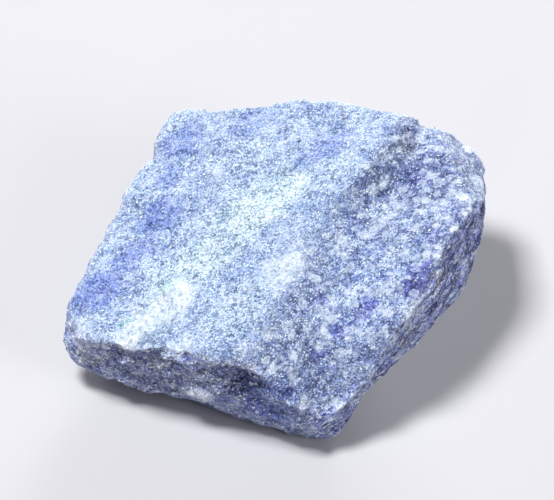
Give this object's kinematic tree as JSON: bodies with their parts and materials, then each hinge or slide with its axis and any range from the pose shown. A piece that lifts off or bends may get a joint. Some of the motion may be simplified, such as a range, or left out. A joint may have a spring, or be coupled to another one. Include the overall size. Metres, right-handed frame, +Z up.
{
  "type": "rough blue aventurine",
  "caption": "Rough broken lump of pale to violet-blue aventurine quartz with a sloping top, a stepped hollow beside it and a small flat resting spot.",
  "frame": {"origin": "middle of the bounding box's bottom, on the ground under the stone", "axes": "+X along the longest extent, to the viewer's right in the picture; +Y away from the viewer; +Z up from the resting spot"},
  "size_m": [0.059, 0.0522, 0.0227],
  "materials": {
    "stone": "rough, sugary broken grain with fine glints, pale blue to violet-blue with milky white and grey patches"
  },
  "bodies": {
    "root": {"stone": "stone"}
  },
  "joints": []
}
